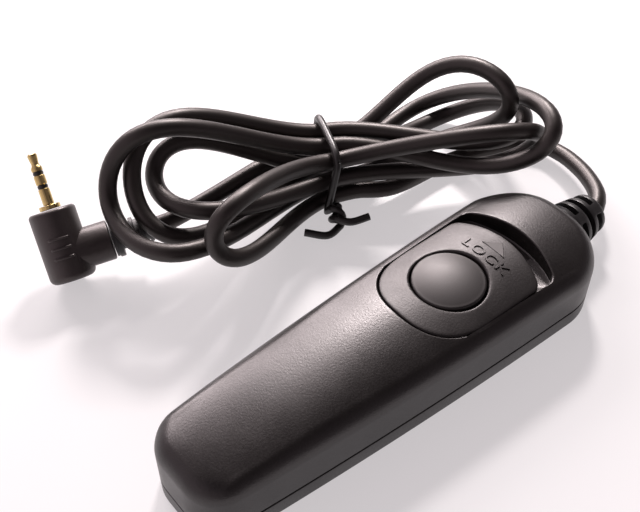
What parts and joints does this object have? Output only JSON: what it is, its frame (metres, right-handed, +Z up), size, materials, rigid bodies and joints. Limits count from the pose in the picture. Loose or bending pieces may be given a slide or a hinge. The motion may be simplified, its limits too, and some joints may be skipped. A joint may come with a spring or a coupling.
{
  "type": "wired shutter release",
  "caption": "Hand-held wired shutter release: tapered handset, domed two-stage button in a sliding hold plate, cable tied in a hank, right-angle pin plug.",
  "frame": {"origin": "on the table, under the middle of the handset's length and width", "axes": "+Y along the handset towards its cable end, +Z up out of the button, +X to the handset's right"},
  "size_m": [0.0965, 0.13, 0.0333],
  "materials": {
    "shell": "fine grain",
    "button": "satin",
    "plug": "satin",
    "base": "plain",
    "leaf": "rolled strip",
    "screw": "plain",
    "relief": "moulded",
    "jacket": "satin",
    "tie": "coated wire",
    "wire_white": "plain",
    "wire_yellow": "plain",
    "wire_red": "plain",
    "gold": "gold plated",
    "insulator": "plain"
  },
  "bodies": {
    "handset": {"top_shell": "shell", "bottom_shell": "shell", "contact_base": "base", "common_leaf": "leaf", "focus_leaf": "leaf", "shutter_leaf": "leaf", "upper_spacer": "base", "lower_spacer": "base", "stack_screw": "screw", "case_screw_near": "screw", "case_screw_left": "screw", "case_screw_right": "screw", "strain_relief": "relief", "common_wire": "wire_white", "focus_wire": "wire_yellow", "shutter_wire": "wire_red", "handset_lead": "jacket", "cable_hank": "jacket", "plug_lead": "jacket", "twist_tie": "tie", "plug_body": "plug", "plug_boot": "relief", "plug_collar": "gold", "sleeve_contact": "gold", "rear_insulator": "insulator", "ring_contact": "gold", "front_insulator": "insulator", "tip_contact": "gold"},
    "hold_slide": {"slide_plate": "shell"},
    "button": {"shutter_button": "button"}
  },
  "joints": [
    {"name": "hold_slide_travel", "type": "slide", "parent": "handset", "child": "hold_slide", "axis": [0, 1, 0], "range_m": [0, 0.0038]},
    {"name": "button_press", "type": "slide", "parent": "hold_slide", "child": "button", "axis": [0, 0, -1], "range_m": [0, 0.0018], "stiffness_N_per_m": 900, "deforming": ["common_leaf", "focus_leaf", "shutter_leaf"]}
  ]
}
